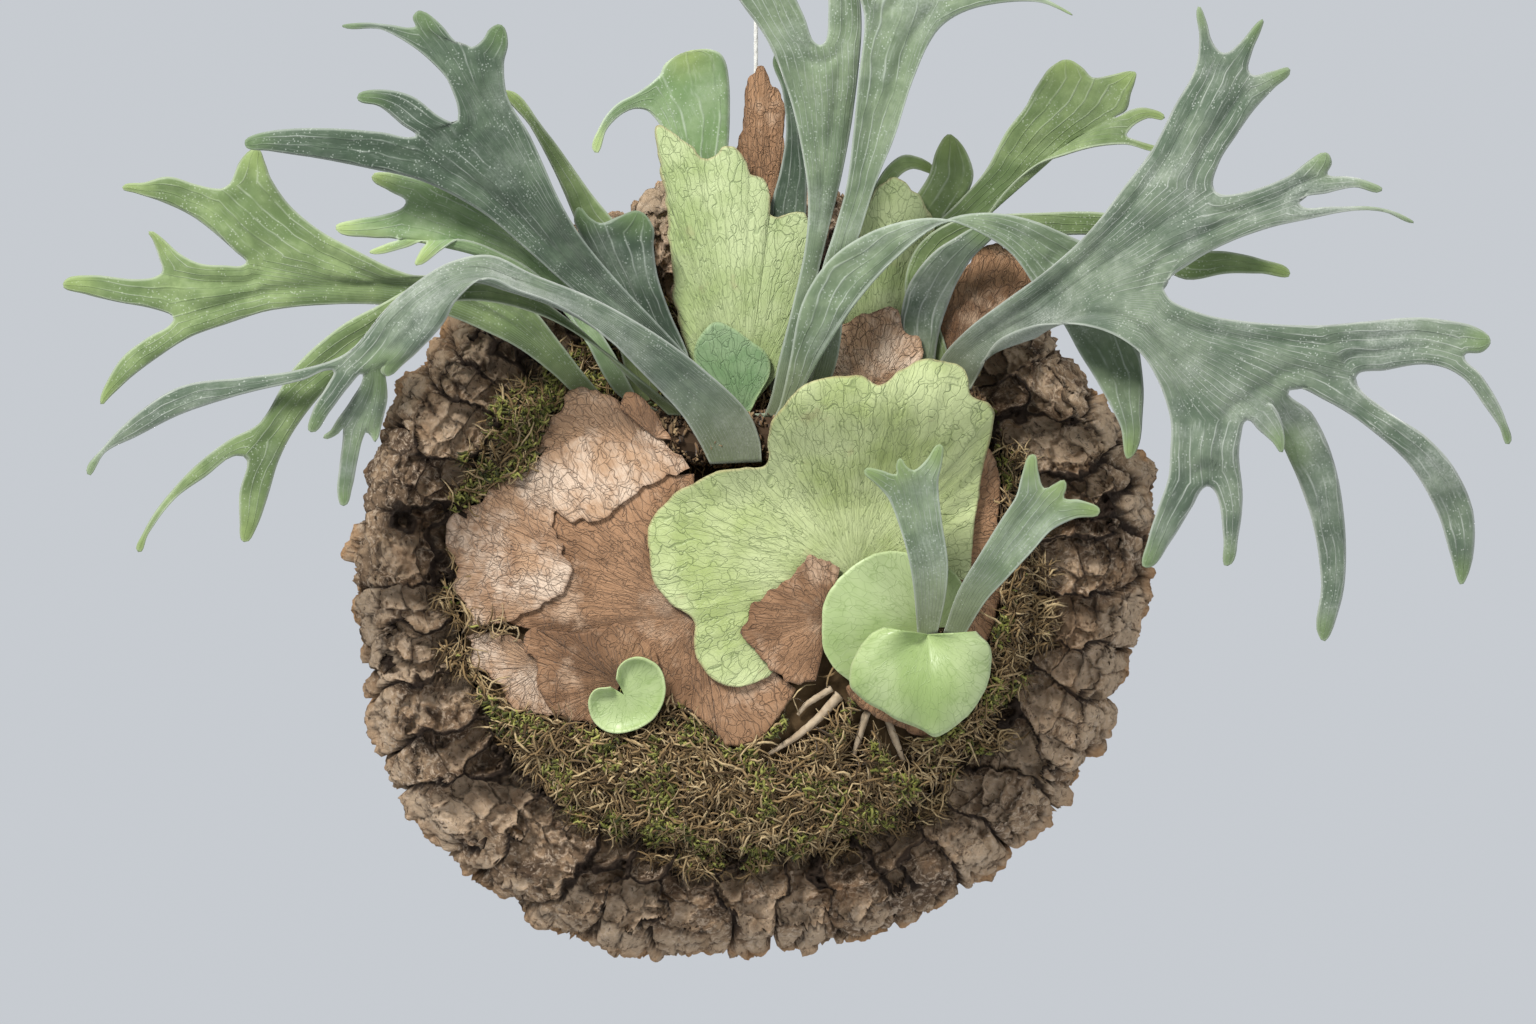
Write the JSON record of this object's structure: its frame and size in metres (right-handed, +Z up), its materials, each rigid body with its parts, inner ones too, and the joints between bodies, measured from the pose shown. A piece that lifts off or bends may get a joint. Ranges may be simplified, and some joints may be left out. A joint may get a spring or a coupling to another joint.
{
  "type": "mounted staghorn fern",
  "caption": "Staghorn fern with forked antler fronds and layered shield fronds on a round cork bark slab, hung by a cord.",
  "frame": {"origin": "on the slab's flat back, which lies against the wall, near the middle of the slab", "axes": "+Z up, +Y out of the slab's back into the wall, so the plant faces -Y; +X to the viewer's right"},
  "size_m": [0.6986, 0.1476, 0.5436],
  "materials": {
    "felted_frond": "green leaf under a fine white felt, matte",
    "dark_frond": "dark green leaf with sparse white felt, matte",
    "green_frond": "mid green leaf, satin",
    "pale_frond": "pale green leaf, satin",
    "green_shield": "green leaf with net veins, satin",
    "young_shield": "bright young leaf, soft gloss",
    "papery_shield": "dead brown leaf, dry and matte",
    "bleached_shield": "bleached dead leaf, dry and crackled",
    "cork_bark": "raw cork bark, rough",
    "sphagnum": "dry sphagnum moss, rough",
    "green_moss": "living moss, rough",
    "rhizome_scales": "brown papery scales, rough",
    "root": "dry root, rough",
    "zinc_steel": "zinc plated, satin",
    "cotton_cord": "twisted cotton, matte"
  },
  "bodies": {
    "root": {"antler_arching_left": "felted_frond", "antler_arching_right": "felted_frond", "antler_back_curl": "green_frond", "antler_back_right": "green_frond", "antler_back_small": "green_frond", "antler_behind_left": "green_frond", "antler_behind_right": "green_frond", "antler_big_right": "felted_frond", "antler_curled_tip": "pale_frond", "antler_dark_wavy": "dark_frond", "antler_hanging_left": "green_frond", "antler_left": "green_frond", "antler_narrow_dark": "dark_frond", "antler_pale_left": "pale_frond", "antler_small_grey": "felted_frond", "antler_upper_left": "dark_frond", "antler_upright": "felted_frond", "antler_upright_right": "felted_frond", "cord_lower_loop": "cotton_cord", "cord_top_loop": "cotton_cord", "cork_bark_slab": "cork_bark", "hanging_cord": "cotton_cord", "hanging_eye": "zinc_steel", "moss_bed": "sphagnum", "moss_left": "green_moss", "moss_lower": "green_moss", "moss_right": "sphagnum", "pup_antler_left": "felted_frond", "pup_antler_right": "felted_frond", "pup_rhizome": "rhizome_scales", "pup_root_1": "root", "pup_root_2": "root", "pup_root_3": "root", "pup_root_4": "root", "pup_shield_back": "young_shield", "pup_shield_brown": "papery_shield", "pup_shield_front": "young_shield", "rhizome": "rhizome_scales", "shield_brown_back_right": "papery_shield", "shield_brown_cracked": "bleached_shield", "shield_brown_inner": "papery_shield", "shield_brown_patch": "papery_shield", "shield_brown_right": "papery_shield", "shield_brown_round": "papery_shield", "shield_brown_smooth": "papery_shield", "shield_brown_tatters": "bleached_shield", "shield_brown_upper": "bleached_shield", "shield_dead_top": "papery_shield", "shield_green_back_right": "green_shield", "shield_green_main": "green_shield", "shield_green_tall": "green_shield", "shield_grey_brown": "bleached_shield", "shield_young_round": "pale_frond", "sprout_heart": "young_shield"}
  },
  "joints": []
}
